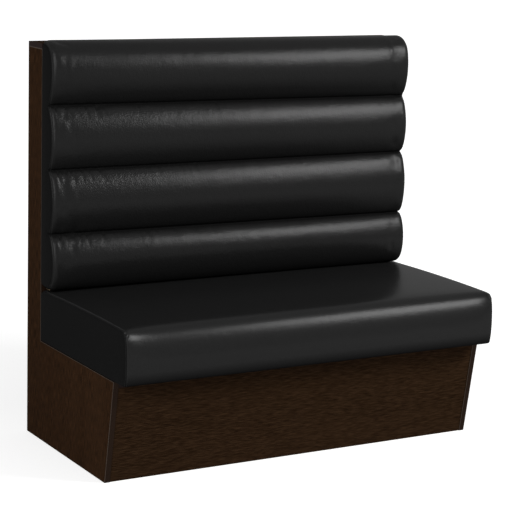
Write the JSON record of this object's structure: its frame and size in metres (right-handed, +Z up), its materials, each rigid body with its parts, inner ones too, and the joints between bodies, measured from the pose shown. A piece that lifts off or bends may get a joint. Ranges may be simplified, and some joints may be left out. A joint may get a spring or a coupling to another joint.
{
  "type": "restaurant booth bench",
  "caption": "Straight booth bench with a high channelled back, a loose boxed seat pad and a laminate carcass on levelling feet.",
  "frame": {"origin": "on the floor, in the middle of the bench's width and of its depth, seat front to wall side", "axes": "+X along the bench to the sitter's left, +Y from the sitter to the wall, +Z up"},
  "size_m": [1.2, 0.6499, 1.156],
  "materials": {
    "panel_laminate": "satin",
    "edge_band": "satin",
    "chipboard": "matte",
    "batten_pine": "matte",
    "dowel_beech": "matte",
    "plywood": "matte",
    "black_upholstery": "satin",
    "foam": "matte",
    "dust_cloth": "matte",
    "hook_and_loop": "matte",
    "bracket_steel": "satin",
    "screw_steel": "satin",
    "foot_nylon": "matte"
  },
  "bodies": {
    "carcass": {"end_panel_left": "panel_laminate", "end_panel_right": "panel_laminate", "end_panel_bands_left": "edge_band", "end_panel_bands_right": "edge_band", "kick_panel": "panel_laminate", "back_panel": "panel_laminate", "pad_support_board": "chipboard", "upright_divider": "chipboard", "base_divider": "chipboard", "cap_board": "panel_laminate", "cap_bands": "edge_band", "cap_batten": "batten_pine", "seat_deck": "chipboard", "deck_front_band": "edge_band", "deck_battens": "batten_pine", "corner_blocks": "batten_pine", "panel_dowels": "dowel_beech", "cap_screws": "screw_steel", "deck_screws": "screw_steel", "batten_screws": "screw_steel", "carcass_cleat": "plywood", "spacer_batten": "plywood", "cleat_screws": "screw_steel", "foot_brackets": "bracket_steel", "foot_nuts": "bracket_steel", "foot_bracket_screws": "screw_steel", "deck_hook_strips": "hook_and_loop"},
    "back_pad": {"back_cover": "black_upholstery", "back_board": "plywood", "back_base_foam": "foam", "channel_foam": "foam", "pad_cleat": "plywood", "pad_cleat_screws": "screw_steel"},
    "seat_pad": {"seat_cover": "black_upholstery", "seat_board": "plywood", "seat_foam": "foam", "seat_dust_cloth": "dust_cloth", "seat_loop_strips": "hook_and_loop"},
    "foot_front_left": {"foot_pad_front_left": "foot_nylon", "foot_stem_front_left": "bracket_steel"},
    "foot_rear_left": {"foot_pad_rear_left": "foot_nylon", "foot_stem_rear_left": "bracket_steel"},
    "foot_front_right": {"foot_pad_front_right": "foot_nylon", "foot_stem_front_right": "bracket_steel"},
    "foot_rear_right": {"foot_pad_rear_right": "foot_nylon", "foot_stem_rear_right": "bracket_steel"}
  },
  "joints": [
    {"name": "seat_draw", "type": "slide", "parent": "carcass", "child": "seat_pad", "axis": [0, -1, 0], "range_m": [0, 0.57]},
    {"name": "back_lift", "type": "slide", "parent": "carcass", "child": "back_pad", "axis": [0, 0, 1], "range_m": [0, 0.04]},
    {"name": "foot_front_left_drop", "type": "slide", "parent": "carcass", "child": "foot_front_left", "axis": [0, 0, -1], "range_m": [0, 0.015]},
    {"name": "foot_rear_left_drop", "type": "slide", "parent": "carcass", "child": "foot_rear_left", "axis": [0, 0, -1], "range_m": [0, 0.015]},
    {"name": "foot_front_right_drop", "type": "slide", "parent": "carcass", "child": "foot_front_right", "axis": [0, 0, -1], "range_m": [0, 0.015]},
    {"name": "foot_rear_right_drop", "type": "slide", "parent": "carcass", "child": "foot_rear_right", "axis": [0, 0, -1], "range_m": [0, 0.015]}
  ]
}
